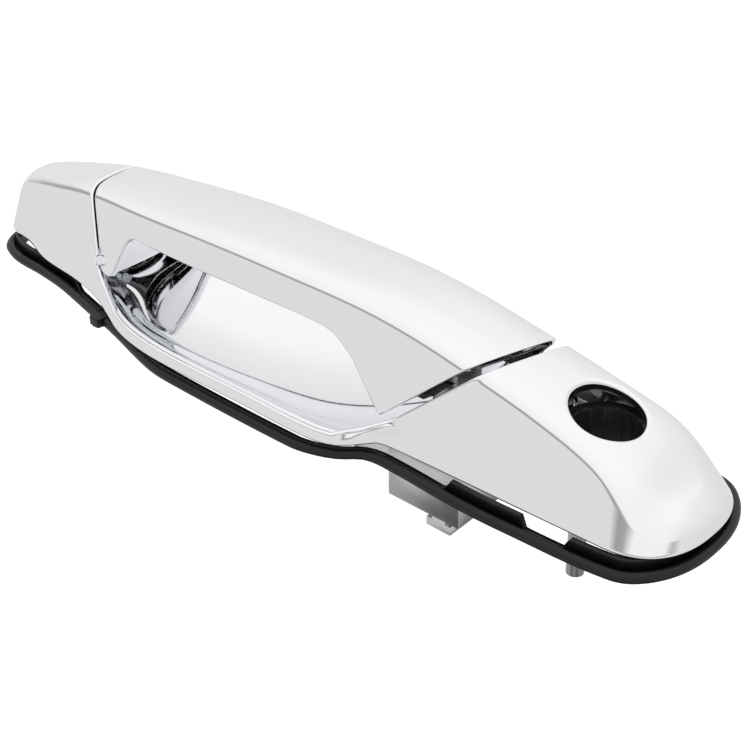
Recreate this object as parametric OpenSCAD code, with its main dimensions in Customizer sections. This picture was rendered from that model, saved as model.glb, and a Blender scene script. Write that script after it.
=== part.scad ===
// Exterior strap door handle: fixed bezel, hinged grip, cast frame, gasket and latch bell crank.
// Origin: middle of the bezel's length, on the door skin. +X towards the lock end, +Z away from the door.

/* [Bezel] */
// Half of the overall length
half_length = 140; // [138:1:142]
// Height of the bezel's lower edge above the door skin
edge_z = 6; // [5.5:0.5:6.5]
// Height of the cup's rim above the door skin
rim_z = 9.5; // [9:0.5:10]
// Lowest point of the cup that the fingers reach into
cup_floor_z = -7; // [-8:0.5:-6]
// Wall of the plated bezel and grip mouldings
wall = 2.4; // [2:0.2:2.6]

/* [Lock] */
// Place of the lock bore along the handle
lock_x = 104; // [103:1:105]
// Radius of the lock cylinder's bore
lock_bore_r = 10.1; // [9.5:0.1:10.3]
// Length of the lock cylinder's bore
lock_bore_length = 21.5; // [18:0.5:22]

/* [Grip hinge] */
// Place of the hinge pin along the handle
hinge_x = -126; // [-127:1:-125]
// Height of the hinge pin above the door skin
hinge_z = 14; // [13:0.5:14.5]
// Radius of the hinge pin
hinge_pin_r = 2; // [1.8:0.1:2.2]
// Angle through which the grip is pulled
pull_deg = 6; // [5:0.5:6]

/* [Latch crank] */
// Place of the pull arm and crank along the handle
crank_x = 57; // [56:0.5:58]
// Distance of the crank's pin behind the grip's middle
crank_y = 22; // [21:0.5:22]
// Height of the crank's pin, below the door skin
crank_z = -11; // [-12:0.5:-11]
// Radius of the crank's pin
crank_pin_r = 2.5; // [2.3:0.1:2.7]
// Angle through which the crank turns for a full pull
crank_deg = 60; // [60:1:60]

/* [Fixings] */
// Radius of the two door studs
stud_r = 3; // [2.5:0.5:3]
// Distance between the two door studs
stud_pitch = 228; // [226:1:228]
// Length of a stud below the door skin
stud_reach = 12; // [10:1:12]
// Radius of the latch rod's hole in its clip
rod_hole_r = 2.05; // [1.9:0.05:2.2]

/* [Hidden] */

run = 0.03;             // running clearance of a pin in its bore
apart = 0.3;            // air between neighbouring mouldings of one body
stations = 44;          // cross-sections along a moulded body
seam_lean = 1.012;      // how far the right seam leans along X for each millimetre of height
seam_skew = 0.316;      // how far it runs along X for each millimetre across
cap_seam_x = 41.55;     // right seam of the bezel at zero height on the middle line
grip_seam_x = 37.6;     // right seam of the grip at zero height on the middle line
left_lean = 0.536;      // lean of the left seam
left_cap_x = -71.6;     // left seam of the bezel at zero height
left_grip_x = -70;      // left seam of the grip at zero height

// Smooth curve through [x, value] points.
function piece(t, x, i = 0) = i >= len(t) - 2 || x < t[i + 1][0] ? i : piece(t, x, i + 1);
function slope(t, i) = i == 0 ? (t[1][1] - t[0][1]) / (t[1][0] - t[0][0])
    : i == len(t) - 1 ? (t[i][1] - t[i - 1][1]) / (t[i][0] - t[i - 1][0])
    : (t[i + 1][1] - t[i - 1][1]) / (t[i + 1][0] - t[i - 1][0]);
function hermite(a, b, ma, mb, h, u) = (2 * u * u * u - 3 * u * u + 1) * a + (u * u * u - 2 * u * u + u) * h * ma
    + (3 * u * u - 2 * u * u * u) * b + (u * u * u - u * u) * h * mb;
function curve(t, x) = let (i = piece(t, x), h = t[i + 1][0] - t[i][0], u = max(0, min(1, (x - t[i][0]) / h)))
    hermite(t[i][1], t[i + 1][1], slope(t, i), slope(t, i + 1), h, u);
// Rounds the plan of an end off over the given length.
function end_round(d, length) = d >= length ? 1 : pow(max(0, 1 - pow(1 - max(0, d) / length, 2.4)), 1 / 2.4);

ridge_half = [[-134, 9], [-120, 9.7], [-90, 11.3], [-70, 13], [-50, 14.2], [-25, 14.8], [60, 14.7], [100, 15.4],
    [118, 17], [138, 17]];
ridge_height = [[-134, 23], [-128, 25.4], [-110, 30.5], [-90, 35], [-60, 37.8], [-30, 40], [0, 40.8], [30, 40.9],
    [50, 39.2], [70, 35.8], [90, 31.8], [110, 26.4], [120, 21.8], [130, 14.5], [138, 11.5]];
base_half = [[-140, 13.2], [-125, 14.4], [-110, 19.2], [-90, 22.6], [-40, 25.4], [50, 25.8], [90, 24.8], [140, 23.4]];
rim_half = [[-140, 13.2], [-125, 14.4], [-110, 19.2], [-90, 21.8], [-76, 25.4], [-55, 34.4], [-36, 37.6], [0, 37.7],
    [28, 37.6], [37, 35.4], [41.5, 31.5], [45, 27], [50, 25.8], [90, 24.8], [140, 23.4]];

function crown(f) = 2 * (1 - pow(abs(f), 3));

// One cross-section of the moulded body from the near lower edge over the top to the far one.
function body_row(s, inset, low_z, outline) = let (
    xb = -half_length + inset + s * (2 * half_length - 2 * inset),
    xr = -134 + inset + s * (272 - 2 * inset),
    wb = (curve(outline, xb) - inset) * min(end_round(xb + half_length - inset, 10), end_round(half_length - inset - xb, 21)),
    wr = (curve(ridge_half, xr) - inset) * min(end_round(xr + 134 - inset, 7), end_round(138 - inset - xr, 20)),
    zr = curve(ridge_height, xr) - inset)
    concat(low_z < edge_z ? [[xb, -wb, low_z]] : [], [[xb, -wb, edge_z]],
        [for (f = [-1, -0.85, -0.5, 0, 0.5, 0.85, 1]) [xr, f * wr, zr + crown(f) * min(1, wr / 8)]],
        [[xb, wb, edge_z]], low_z < edge_z ? [[xb, wb, low_z]] : []);

// Closed solid from rows of equally many points: sides, and a fan over each end row.
module skin(rows) {
    n = len(rows);
    m = len(rows[0]);
    polyhedron([for (r = rows) for (p = r) p],
        concat(
            [for (i = [0:n - 2]) for (j = [0:m - 1]) let (k = (j + 1) % m)
                [i * m + j, i * m + k, (i + 1) * m + k]],
            [for (i = [0:n - 2]) for (j = [0:m - 1]) let (k = (j + 1) % m)
                [i * m + j, (i + 1) * m + k, (i + 1) * m + j]],
            [for (j = [1:m - 2]) [0, j + 1, j]],
            [for (j = [1:m - 2]) [(n - 1) * m, (n - 1) * m + j, (n - 1) * m + j + 1]]),
        convexity = 8);
}

// Joins curved shells into one moulding before any true bore is drilled in it.
module moulding() {
    resize([0, 0, 0])
        children();
}

module moulded_body(inset, low_z, outline) {
    rows = [for (i = [0:stations]) body_row(0.0015 + 0.997 * (1 - cos(180 * i / stations)) / 2, inset, low_z, outline)];
    skin(rows);
}

// Prism through the whole width. Each point is [x, z, share of the seam's skew].
module side_prism(points, half = 46) {
    rows = [for (y = [-half, half]) [for (p = points) [p[0] + p[2] * seam_skew * y, y, p[1]]]];
    n = len(points);
    polyhedron(concat(rows[0], rows[1]),
        concat([[for (i = [n - 1:-1:0]) i]], [[for (i = [0:n - 1]) n + i]],
            [for (i = [0:n - 1]) let (k = (i + 1) % n) [i, n + k, n + i]],
            [for (i = [0:n - 1]) let (k = (i + 1) % n) [i, k, n + k]]),
        convexity = 6);
}

top_z = 50;
function right_seam(x0, z) = x0 + seam_lean * z;
function left_seam(x0, z) = x0 - left_lean * z;

// The opening that the rim and the two caps leave for the grip.
opening_side = [[left_seam(left_cap_x, top_z), top_z, 0], [left_seam(left_cap_x, 16), 16, 0],
    [-77, 12.4, 0], [-72, 10.4, 0], [-65, rim_z, 0],
    [right_seam(cap_seam_x, rim_z) - 4, rim_z, 1], [right_seam(cap_seam_x, rim_z + 4), rim_z + 4, 1],
    [right_seam(cap_seam_x, top_z), top_z, 1]];

// The grip's outline from the side: two legs and the bar between them.
grip_low = [[-76.8, 13.6], [-73.4, 13.3], [-72.3, 15], [-70.4, 20.4], [-67.6, 26.6], [-64.4, 28.2], [-50, 28.7],
    [-20, 29.7], [16, 30.2], [22.4, 29.2], [30, 25], [37.6, 18.2]];
grip_side = concat([[left_seam(left_grip_x, top_z), top_z, 0], [left_seam(left_grip_x, 16.5), 16.5, 0]],
    [for (p = grip_low) [p[0], p[1], 0]],
    [[right_seam(grip_seam_x, 13.2) - 2, 13.2, 1], [right_seam(grip_seam_x, 13.2), 13.2, 1],
    [right_seam(grip_seam_x, top_z), top_z, 1]]);

// Half width of the cup just inside the bezel's wall, and its surface.
cup_rows = 22;
cup_left_x = -84;
cup_right_x = 52;
function cup_half(x) = curve(rim_half, x) - wall - 0.15
    - (curve(rim_half, x) - curve(ridge_half, x)) * (rim_z - 0.3 - edge_z) / (curve(ridge_height, x) - wall - edge_z);
function cup_row(i, drop) = let (
    s = i / cup_rows,
    x0 = cup_left_x + s * (cup_right_x - cup_left_x),
    deep = pow(sin(180 * s), 0.55))
    [for (j = [0:12]) let (v = -1 + j / 6, x = x0 + (s > 0.7 ? (s - 0.7) / 0.3 * seam_skew * v * 20 : 0))
        [x, v * cup_half(x),
        rim_z - 0.3 - (rim_z - cup_floor_z) * deep * pow(max(0, 1 - v * v), 0.6) - drop]];
module finger_cup() color("gainsboro") moulding()
    intersection() {
        skin([for (i = [0:cup_rows]) concat(cup_row(i, 0), [for (k = [12:-1:0]) cup_row(i, 2)[k]])]);
        translate([cup_left_x + 0.5, -60, -20])
            cube([160, 120, 40]);
    }

boss_places = [[-104, -11.5], [-104, 11.5], [82, -13], [82, 13], [122, -10], [122, 10]];
module at_bosses() {
    for (p = boss_places)
        translate([p[0], p[1], 0])
            children();
}

module bezel() color("gainsboro") moulding()
    difference() {
        union() {
            bezel_shell();
            bezel_bosses();
        }
        translate([lock_x, 0, 10])
            cylinder(h = 40, r = lock_bore_r + 0.4, $fn = 48);
        at_bosses()
            translate([0, 0, frame_top - 1])
                cylinder(h = 9, r = 1.6, $fn = 16);
    }
module bezel_shell() {
    difference() {
        moulded_body(0, edge_z, rim_half);
        moulded_body(wall, edge_z - 2, rim_half);
        side_prism(opening_side);
    }
}
// Screw bosses, and the collar round the key hole, up to the skin.
module bezel_bosses() {
    intersection() {
        moulded_body(wall / 2, edge_z - 2, base_half);
        union() {
            at_bosses()
                translate([0, 0, frame_top])
                    cylinder(h = 40, r = 3.4, $fn = 16);
            translate([lock_x, 0, housing_top + 0.2])
                cylinder(h = 20, r = lock_bore_r + 2.2, $fn = 48);
        }
    }
}

module grip_shell() color("gainsboro") moulding() {
    difference() {
        intersection() {
            moulded_body(0, edge_z, base_half);
            side_prism(grip_side);
        }
        moulded_body(wall, edge_z - 2, base_half);
    }
}

grip_base_top = [[47, 32.5, 0], [-64, 33.5, 0], [-84.5, 31.5, 0], [-78.8, 20, 0]];
grip_base_side = concat([for (p = grip_low) [p[0], p[1] + 0.3, 0]],
    [[right_seam(grip_seam_x, 14) - 4, 14, 1], [right_seam(grip_seam_x, 31) - 3, 31, 1]], grip_base_top);
arm_t = 5;              // half thickness of the hinge arm across the handle
arm_root_low = 18;      // underside and top of the hinge arm's root in the grip's left leg
root_top = 27;
pull_root_low = 20;     // underside and top of the pull arm's root in the right leg
pull_root_top = 30;
pull_y0 = -13;          // side of the pull arm that is away from the crank
pull_y1 = 3;
grip_screw_low = [[-78.5, 0, arm_root_low], [crank_x - 4, -1, pull_root_low]];
module grip_base() color("silver") moulding()
    difference() {
        intersection() {
            moulded_body(wall + apart, edge_z - 2, base_half);
            side_prism(grip_base_side);
        }
        translate([-92, -arm_t - 0.1, 9])
            cube([11.4, 2 * arm_t + 0.2, root_top - 8.9]);
        translate([-92, -arm_t - 0.1, arm_root_low - 0.1])
            cube([18.1, 2 * arm_t + 0.2, root_top - arm_root_low + 0.2]);
        translate([grip_screw_low[0][0], 0, 5])
            cylinder(h = arm_root_low - 4.5, r = 3.1, $fn = 32);
        translate([crank_x - 7.1, pull_y0 - 0.1, 8])
            cube([30, pull_y1 - pull_y0 + 0.2, pull_root_top - 7.9]);
        for (p = grip_screw_low)
            translate(p)
                cylinder(h = 20, r = 1.3, $fn = 16);
    }

eye_r = 4.8;
module hinge_arm() color("darkgray") {
    difference() {
        union() {
            translate([hinge_x, 0, hinge_z])
                rotate([90, 0, 0])
                    cylinder(h = 2 * arm_t - 0.8, r = eye_r, center = true, $fn = 64);
            translate([hinge_x, -arm_t + 0.4, hinge_z - 3])
                cube([44.5, 2 * arm_t - 0.8, 5.5]);
            translate([hinge_x + 40, -arm_t + 0.4, hinge_z - 3])
                cube([4.5, 2 * arm_t - 0.8, 11]);
            translate([-84, -arm_t, arm_root_low])
                cube([10, 2 * arm_t, root_top - arm_root_low]);
        }
        translate([hinge_x, 0, hinge_z])
            rotate([90, 0, 0])
                cylinder(h = 30, r = hinge_pin_r + run, center = true, $fn = 64);
        translate([grip_screw_low[0][0], 0, arm_root_low - 1])
            cylinder(h = 15, r = 1.3, $fn = 32);
    }
}

// The foot hooks under the crank's finger; its top lies just under the finger's round tip.
tip_r = 3;
tip_gap = 0.5;
pivot_span = crank_x - hinge_x;
foot_drop = hinge_z - (crank_z - tip_r - tip_gap);
lift = (pivot_span * sin(pull_deg) + foot_drop * (1 - cos(pull_deg))) / (1 - (1 - cos(pull_deg)) / 2);
finger_r = lift / (2 * sin(crank_deg / 2));
foot_z = crank_z - lift / 2 - tip_r - tip_gap;
module pull_arm() color("darkgray") {
    difference() {
        union() {
            translate([crank_x - 7, pull_y0, pull_root_low])
                cube([9.4, pull_y1 - pull_y0, pull_root_top - pull_root_low]);
            translate([crank_x - 2.5, pull_y0, foot_z - 3])
                cube([5, 5, pull_root_top - foot_z]);
            translate([crank_x - 4.5, pull_y0, foot_z - 3])
                cube([9, 19, 3]);
        }
        translate([grip_screw_low[1][0], grip_screw_low[1][1], 15])
            cylinder(h = 20, r = 1.3, $fn = 32);
    }
}

module pan_screw(shank_r, length, head_r, head_h) {
    cylinder(h = head_h, r = head_r, $fn = 32);
    translate([0, 0, -length])
        cylinder(h = length + 0.1, r = shank_r, $fn = 32);
}
module grip_screws() color("silver")
    for (p = grip_screw_low)
        translate(p)
            rotate([180, 0, 0])
                pan_screw(1.2, 11, 2.8, 1.8);

ear_gap = 4.9;          // half distance between the hinge ears
ear_t = 2.2;
pin_half = 8.2;
module hinge_pin() color("silver")
    translate([hinge_x, 0, hinge_z])
        rotate([90, 0, 0])
            difference() {
                cylinder(h = 2 * pin_half, r = hinge_pin_r, center = true, $fn = 64);
                for (side = [-1, 1])
                    translate([0, 0, side * 7.55])
                        difference() {
                            cylinder(h = 0.5, r = 3, center = true, $fn = 64);
                            cylinder(h = 0.6, r = 1.5, center = true, $fn = 64);
                        }
            }

module e_clip(inner, outer, thick) {
    difference() {
        cylinder(h = thick, r = outer, center = true, $fn = 48);
        cylinder(h = thick + 1, r = inner, center = true, $fn = 48);
        translate([-inner * 0.8, 0, -thick])
            cube([inner * 1.6, outer + 1, 2 * thick]);
    }
}
module hinge_pin_clips() color("dimgray")
    for (side = [-1, 1])
        translate([hinge_x, side * 7.55, hinge_z])
            rotate([90, 0, 0])
                e_clip(1.55, 3.6, 0.4);

frame_low = 1;
frame_top = 4;
tower_x0 = 44;
tower_x1 = 70;
tower_y0 = -20;
tower_y1 = 28.5;
tower_low = -16;
tower_t = 2.5;
spine_top = -10;
spine_low = -13;
plate_half = 15.4;
module plate(x0, x1, half, low, high) {
    translate([x0, -half, low])
        cube([x1 - x0, 2 * half, high - low]);
}
module frame() color("silver") {
    difference() {
        union() {
            plate(-128.5, -87, 8.5, frame_low, frame_top);
            plate(-112, -87, plate_half, frame_low, frame_top);
            plate(-90, -87, 9, spine_low, frame_top);
            plate(-90, 47, 9, spine_low, spine_top);
            for (side = [-1, 1])
                translate([-88, side * 8 - 1, spine_low - 3])
                    cube([133, 2, 4]);
            for (x = [-70:23:30])
                translate([x, -9, spine_low - 3])
                    cube([2, 18, 4]);
            plate(tower_x1 - tower_t, 132, 18, frame_low, frame_top);
            translate([tower_x0, tower_y0, tower_low])
                cube([tower_t, 38, -0.5 - tower_low]);
            translate([tower_x1 - tower_t, tower_y0, tower_low])
                cube([tower_t, 38, edge_z - tower_low - 0.4]);
            translate([tower_x0, tower_y0, tower_low])
                cube([tower_x1 - tower_x0, tower_t, edge_z - tower_low - 0.4]);
            for (x = [tower_x0, tower_x1 - tower_t])
                translate([x, 10, tower_low - 3])
                    cube([tower_t, tower_y1 - 10, 16]);
            for (side = [-1, 1])
                translate([lock_x + 3, side * 15, -14.5])
                    cylinder(h = 16, r = 2.6, $fn = 32);
            for (side = [-1, 1])
                translate([hinge_x, side * (ear_gap + ear_t / 2), hinge_z])
                    rotate([90, 0, 0])
                        cylinder(h = ear_t, r = 4.6, center = true, $fn = 64);
            for (side = [-1, 1])
                translate([hinge_x - 4.6, side * (ear_gap + ear_t / 2) - ear_t / 2, frame_low])
                    cube([9.2, ear_t, hinge_z - frame_low]);
        }
        translate([tower_x0 - 1, tower_y0 - 1, 2])
            cube([5, 10, 10]);
        translate([lock_x, 0, -10])
            cylinder(h = 30, r = 14.5, $fn = 64);
        translate([hinge_x, 0, hinge_z])
            rotate([90, 0, 0])
                cylinder(h = 40, r = hinge_pin_r + run, center = true, $fn = 64);
        translate([0, crank_y, crank_z])
            rotate([0, 90, 0])
                cylinder(h = 200, r = crank_pin_r + run, $fn = 64);
        at_bosses()
            translate([0, 0, -5])
                cylinder(h = 20, r = 1.8, $fn = 32);
        at_studs()
            translate([0, 0, -5])
                cylinder(h = 20, r = stud_r + 0.5 + run, $fn = 48);
        for (side = [-1, 1])
            translate([lock_x, side * 16.2, -5])
                cylinder(h = 20, r = 1.3, $fn = 32);
    }
}

stud_mid = 14;
module at_studs() {
    for (side = [-1, 1])
        translate([stud_mid + side * stud_pitch / 2, 0, 0])
            children();
}
module mounting_studs() color("lightslategray")
    at_studs() {
        translate([0, 0, frame_top])
            cylinder(h = 2, r = 5.5, $fn = 48);
        translate([0, 0, frame_low - 0.7])
            cylinder(h = frame_top - frame_low + 0.8, r = stud_r + 0.5, $fn = 48);
        translate([0, 0, -stud_reach])
            cylinder(h = stud_reach + frame_low, r = stud_r, $fn = 48);
    }

module bezel_screws() color("dimgray")
    at_bosses()
        translate([0, 0, frame_low])
            rotate([180, 0, 0]) {
                cylinder(h = 1.8, r = 3.2, $fn = 32);
                translate([0, 0, -9.5])
                    cylinder(h = 9.6, r = 1.45, $fn = 32);
            }

gasket_half = [[-136.5, 16], [-125, 20.5], [-110, 21.7], [-97, 23.4], [-76, 28.6], [-70.4, 31], [-69.6, 29], [-61, 31.4],
    [-40, 37.4], [-30, 38.6], [22, 38.9], [30, 37.3], [37, 34.4], [42, 28.6], [52, 29], [76, 30.4], [93, 30.1],
    [125, 28], [141.6, 22]];
gasket_x0 = -139;
gasket_x1 = 141.6;
function gasket_row(s, inset) = let (
    x = gasket_x0 + inset + s * (gasket_x1 - gasket_x0 - 2 * inset),
    w = (curve(gasket_half, x) - inset) * min(end_round(x - gasket_x0 - inset, 6), end_round(gasket_x1 - inset - x, 14)))
    [x, w];
module gasket_outline(inset) {
    half = [for (i = [0:72]) gasket_row(0.001 + 0.998 * (1 - cos(180 * i / 72)) / 2, inset)];
    polygon(concat([for (p = half) [p[0], -p[1]]], [for (i = [72:-1:0]) half[i]]));
}
module gasket() color([0.1, 0.1, 0.1]) {
    difference() {
        linear_extrude(3.4)
            gasket_outline(0);
        translate([0, 0, -1])
            linear_extrude(6)
                gasket_outline(5.5);
    }
    difference() {
        intersection() {
            linear_extrude(edge_z - 0.3)
                difference() {
                    gasket_outline(3.8);
                    gasket_outline(5.5);
                }
            union() {
                translate([71, -40, 0])
                    cube([80, 80, 20]);
                translate([-150, -40, 0])
                    cube([45, 80, 20]);
            }
        }
        translate([97, -40, 3.4])
            cube([14, 80, 20]);
    }
}

tip_y = crank_y - finger_r * cos(crank_deg / 2);
tip_z = crank_z - finger_r * sin(crank_deg / 2);
crank_half = 6.5;
out_r = 16;
out_deg = 80;
out_y = crank_y + out_r * cos(out_deg);
out_z = crank_z - out_r * sin(out_deg);
module along_x(y, z) {
    translate([crank_x, y, z])
        rotate([0, 90, 0])
            children();
}
// A flat link between two points in the plane across the handle.
module link(y0, z0, y1, z1, thick, wide) {
    reach = norm([y1 - y0, z1 - z0]);
    translate([crank_x, y0, z0])
        rotate([atan2(z1 - z0, y1 - y0), 0, 0])
            translate([-wide / 2, 0, -thick / 2])
                cube([wide, reach, thick]);
}
module bell_crank() color("silver") {
    difference() {
        union() {
            along_x(crank_y, crank_z)
                cylinder(h = 2 * crank_half, r = 5, center = true, $fn = 64);
            along_x(tip_y, tip_z)
                cylinder(h = 10, r = tip_r, center = true, $fn = 64);
            along_x(out_y, out_z)
                cylinder(h = 3, r = 5, center = true, $fn = 48);
            link(crank_y, crank_z, tip_y, tip_z, 4, 8);
            link(crank_y, crank_z, out_y, out_z, 6, 3);
            link(crank_y, crank_z, crank_y + 10 * cos(30), crank_z + 10 * sin(30), 5, 3);
        }
        along_x(crank_y, crank_z)
            cylinder(h = 40, r = crank_pin_r + run, center = true, $fn = 64);
        along_x(out_y, out_z)
            cylinder(h = 20, r = 3.2, center = true, $fn = 48);
        translate([0, crank_y + 8 * cos(30), crank_z + 8 * sin(30)])
            rotate([0, 90, 0])
                cylinder(h = 200, r = 1, $fn = 32);
    }
}
module counterweight() color("dimgray")
    for (side = [-1, 1])
        translate([side * 4, 0, 0])
            difference() {
                along_x(crank_y + 9.6 * cos(30), crank_z + 9.6 * sin(30))
                    cylinder(h = 4.8, r = 4, center = true, $fn = 48);
                translate([0, crank_y + 8 * cos(30), crank_z + 8 * sin(30)])
                    rotate([0, 90, 0])
                        cylinder(h = 200, r = 1.05, $fn = 32);
                along_x(crank_y, crank_z)
                    cylinder(h = 40, r = 5.3, center = true, $fn = 64);
            }
module counterweight_rivet() color("silver")
    along_x(crank_y + 8 * cos(30), crank_z + 8 * sin(30)) {
        cylinder(h = 12.8, r = 0.95, center = true, $fn = 32);
        for (side = [-1, 1])
            translate([0, 0, side * 6.9])
                cylinder(h = 0.9, r = 1.8, center = true, $fn = 32);
    }
module bell_crank_pin() color("silver")
    translate([tower_x0 - 1.6, crank_y, crank_z])
        rotate([0, 90, 0])
            difference() {
                union() {
                    cylinder(h = 30, r = crank_pin_r, $fn = 64);
                    cylinder(h = 1.5, r = 4.2, $fn = 64);
                }
                translate([0, 0, 28.2])
                    difference() {
                        cylinder(h = 0.6, r = 4, center = true, $fn = 64);
                        cylinder(h = 0.7, r = 1.9, center = true, $fn = 64);
                    }
            }
module bell_crank_pin_clip() color("dimgray")
    translate([tower_x0 - 1.6 + 28.2, crank_y, crank_z])
        rotate([0, 90, 0])
            e_clip(1.95, 4.6, 0.5);

// Torsion spring round the pin, between the crank and the tower's wall.
wire_r = 0.45;
coil_r = 3.9;
turns = 2.5;
spring_x0 = tower_x0 + tower_t + 0.5;
spring_pitch = 1.0;
function spring_axis(a) = [spring_x0 + spring_pitch * a / 360, crank_y + coil_r * cos(a), crank_z + coil_r * sin(a)];
function spring_ring(c, out, along) = [for (k = [0:7]) c + wire_r * (cos(45 * k) * out + sin(45 * k) * along)];
module return_spring() color("gray") {
    skin([for (a = [-20:20:360 * turns]) spring_ring(spring_axis(a), [0, cos(a), sin(a)], [1, 0, 0])]);
}

module latch_rod_clip() color("white")
    difference() {
        union() {
            along_x(out_y, out_z)
                cylinder(h = 12, r = 3.1, center = true, $fn = 48);
            for (side = [-1, 1])
                translate([side * (side > 0 ? 3.1 : 3.1), 0, 0])
                    along_x(out_y, out_z)
                        cylinder(h = 2.2, r = 4.6, center = true, $fn = 48);
        }
        along_x(out_y, out_z)
            cylinder(h = 40, r = rod_hole_r, center = true, $fn = 48);
    }

housing_low = 2;
housing_top = housing_low + lock_bore_length;
housing_r = 13.4;
module lock_housing() color([0.15, 0.15, 0.15])
    difference() {
        union() {
            intersection() {
                moulded_body(wall + apart, edge_z - 2, base_half);
                translate([lock_x, 0, edge_z - 1])
                    cylinder(h = housing_top - edge_z + 1, r = housing_r, $fn = 64);
            }
            translate([lock_x, 0, housing_low])
                cylinder(h = edge_z, r = housing_r, $fn = 64);
            for (side = [-1, 1])
                translate([lock_x - 4, side > 0 ? 11 : -18.5, frame_top + 0.1])
                    cube([8, 7.5, 2.4]);
        }
        translate([lock_x, 0, -10])
            cylinder(h = 60, r = lock_bore_r, $fn = 64);
        for (side = [-1, 1])
            translate([lock_x, side * 16.2, 0])
                cylinder(h = 20, r = 1.6, $fn = 32);
        translate([lock_x, 0, 9])
            rotate([0, 90, 0])
                cylinder(h = 40, r = 2.05, $fn = 32);
    }
module lock_housing_screws() color("silver")
    for (side = [-1, 1])
        translate([lock_x, side * 16.2, frame_top + 2.6])
            pan_screw(1.25, 5.4, 2.6, 1.6);
module lock_set_screw() color("dimgray")
    translate([lock_x + lock_bore_r + 0.6, 0, 9])
        rotate([0, 90, 0])
            cylinder(h = 4, r = 2, $fn = 32);

// Two rubber pads in the grip's slanted end, which meet the cap's edge.
pad_side = [[right_seam(grip_seam_x, 20) - 2.9, 20, 1], [right_seam(grip_seam_x, 20) + 1.8, 20, 1],
    [right_seam(grip_seam_x, 27) + 1.8, 27, 1], [right_seam(grip_seam_x, 27) - 2.9, 27, 1]];
module grip_bump_stop() color([0.1, 0.1, 0.1]) moulding()
    intersection() {
        moulded_body(wall + apart + 0.2, edge_z - 2, base_half);
        side_prism(pad_side);
        for (side = [-1, 1])
            translate([30, side * 15 - 1.8, 0])
                cube([60, 3.6, 40]);
    }

module hinge_bump_stop() color([0.1, 0.1, 0.1])
    translate([-94, -3.5, frame_top + 0.1])
        cube([6, 7, hinge_z - 3 - frame_top - 0.5]);

bezel();
finger_cup();
grip_shell();
grip_base();
hinge_arm();
pull_arm();
grip_screws();
hinge_pin();
hinge_pin_clips();
frame();
gasket();
bell_crank();
bell_crank_pin();
bell_crank_pin_clip();
return_spring();
counterweight();
counterweight_rivet();
latch_rod_clip();
lock_housing();
lock_housing_screws();
lock_set_screw();
mounting_studs();
bezel_screws();
grip_bump_stop();
hinge_bump_stop();
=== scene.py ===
import math

import bmesh
import bpy
import numpy as np
from mathutils import Matrix, Vector


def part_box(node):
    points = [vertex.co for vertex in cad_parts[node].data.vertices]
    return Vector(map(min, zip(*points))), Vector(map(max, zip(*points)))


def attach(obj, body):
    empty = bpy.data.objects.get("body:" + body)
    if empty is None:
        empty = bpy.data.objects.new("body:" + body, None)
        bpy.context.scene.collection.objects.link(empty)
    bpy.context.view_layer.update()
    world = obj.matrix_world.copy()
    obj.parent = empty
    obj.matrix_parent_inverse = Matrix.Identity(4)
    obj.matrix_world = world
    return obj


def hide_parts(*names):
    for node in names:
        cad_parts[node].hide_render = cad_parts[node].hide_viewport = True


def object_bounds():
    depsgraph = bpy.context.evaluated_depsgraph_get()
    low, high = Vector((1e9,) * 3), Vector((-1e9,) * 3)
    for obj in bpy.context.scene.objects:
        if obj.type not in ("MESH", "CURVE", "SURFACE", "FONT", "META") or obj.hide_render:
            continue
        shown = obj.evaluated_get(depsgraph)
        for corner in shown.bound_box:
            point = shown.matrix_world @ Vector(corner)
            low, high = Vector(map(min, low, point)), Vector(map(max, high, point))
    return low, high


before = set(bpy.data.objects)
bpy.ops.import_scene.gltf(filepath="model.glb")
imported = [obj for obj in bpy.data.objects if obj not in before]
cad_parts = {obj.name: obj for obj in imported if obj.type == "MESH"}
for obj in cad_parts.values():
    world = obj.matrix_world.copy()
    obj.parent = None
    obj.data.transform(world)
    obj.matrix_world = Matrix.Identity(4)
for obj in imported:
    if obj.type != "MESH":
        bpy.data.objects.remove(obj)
cad_low, cad_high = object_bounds()

# ---------------------------------------------------------------------------------------------
# Bezel. The fixed chrome moulding that is screwed to the frame: a tapered cap at the hinge end,
# a low rim round the finger cup and a cap with the key hole at the lock end. It is injection
# moulded in plastic with a 2.4 mm wall, and decoratively plated all over.
# ---------------------------------------------------------------------------------------------
MM = 0.001
EDGE_Z = 6.0
RIM_Z = 9.5
WALL = 2.4

RIDGE_HALF = [(-134, 9), (-120, 9.7), (-90, 11.3), (-70, 13), (-50, 14.2), (-25, 14.8), (60, 14.7),
              (100, 15.4), (118, 17), (138, 17)]
RIDGE_HEIGHT = [(-134, 23), (-128, 25.4), (-110, 30.5), (-90, 35), (-60, 37.8), (-30, 40), (0, 40.8),
                (30, 40.9), (50, 39.2), (70, 35.8), (90, 31.8), (110, 26.4), (120, 21.8), (130, 14.5),
                (138, 11.5)]
BASE_HALF = [(-140, 13.2), (-125, 14.4), (-110, 19.2), (-90, 22.6), (-40, 25.4), (50, 25.8), (90, 24.8),
             (140, 23.4)]
RIM_HALF = [(-140, 13.2), (-125, 14.4), (-110, 19.2), (-90, 21.8), (-76, 25.4), (-55, 34.4), (-36, 37.6),
            (0, 37.7), (28, 37.6), (37, 35.4), (41.5, 31.5), (45, 27), (50, 25.8), (90, 24.8), (140, 23.4)]


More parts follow.
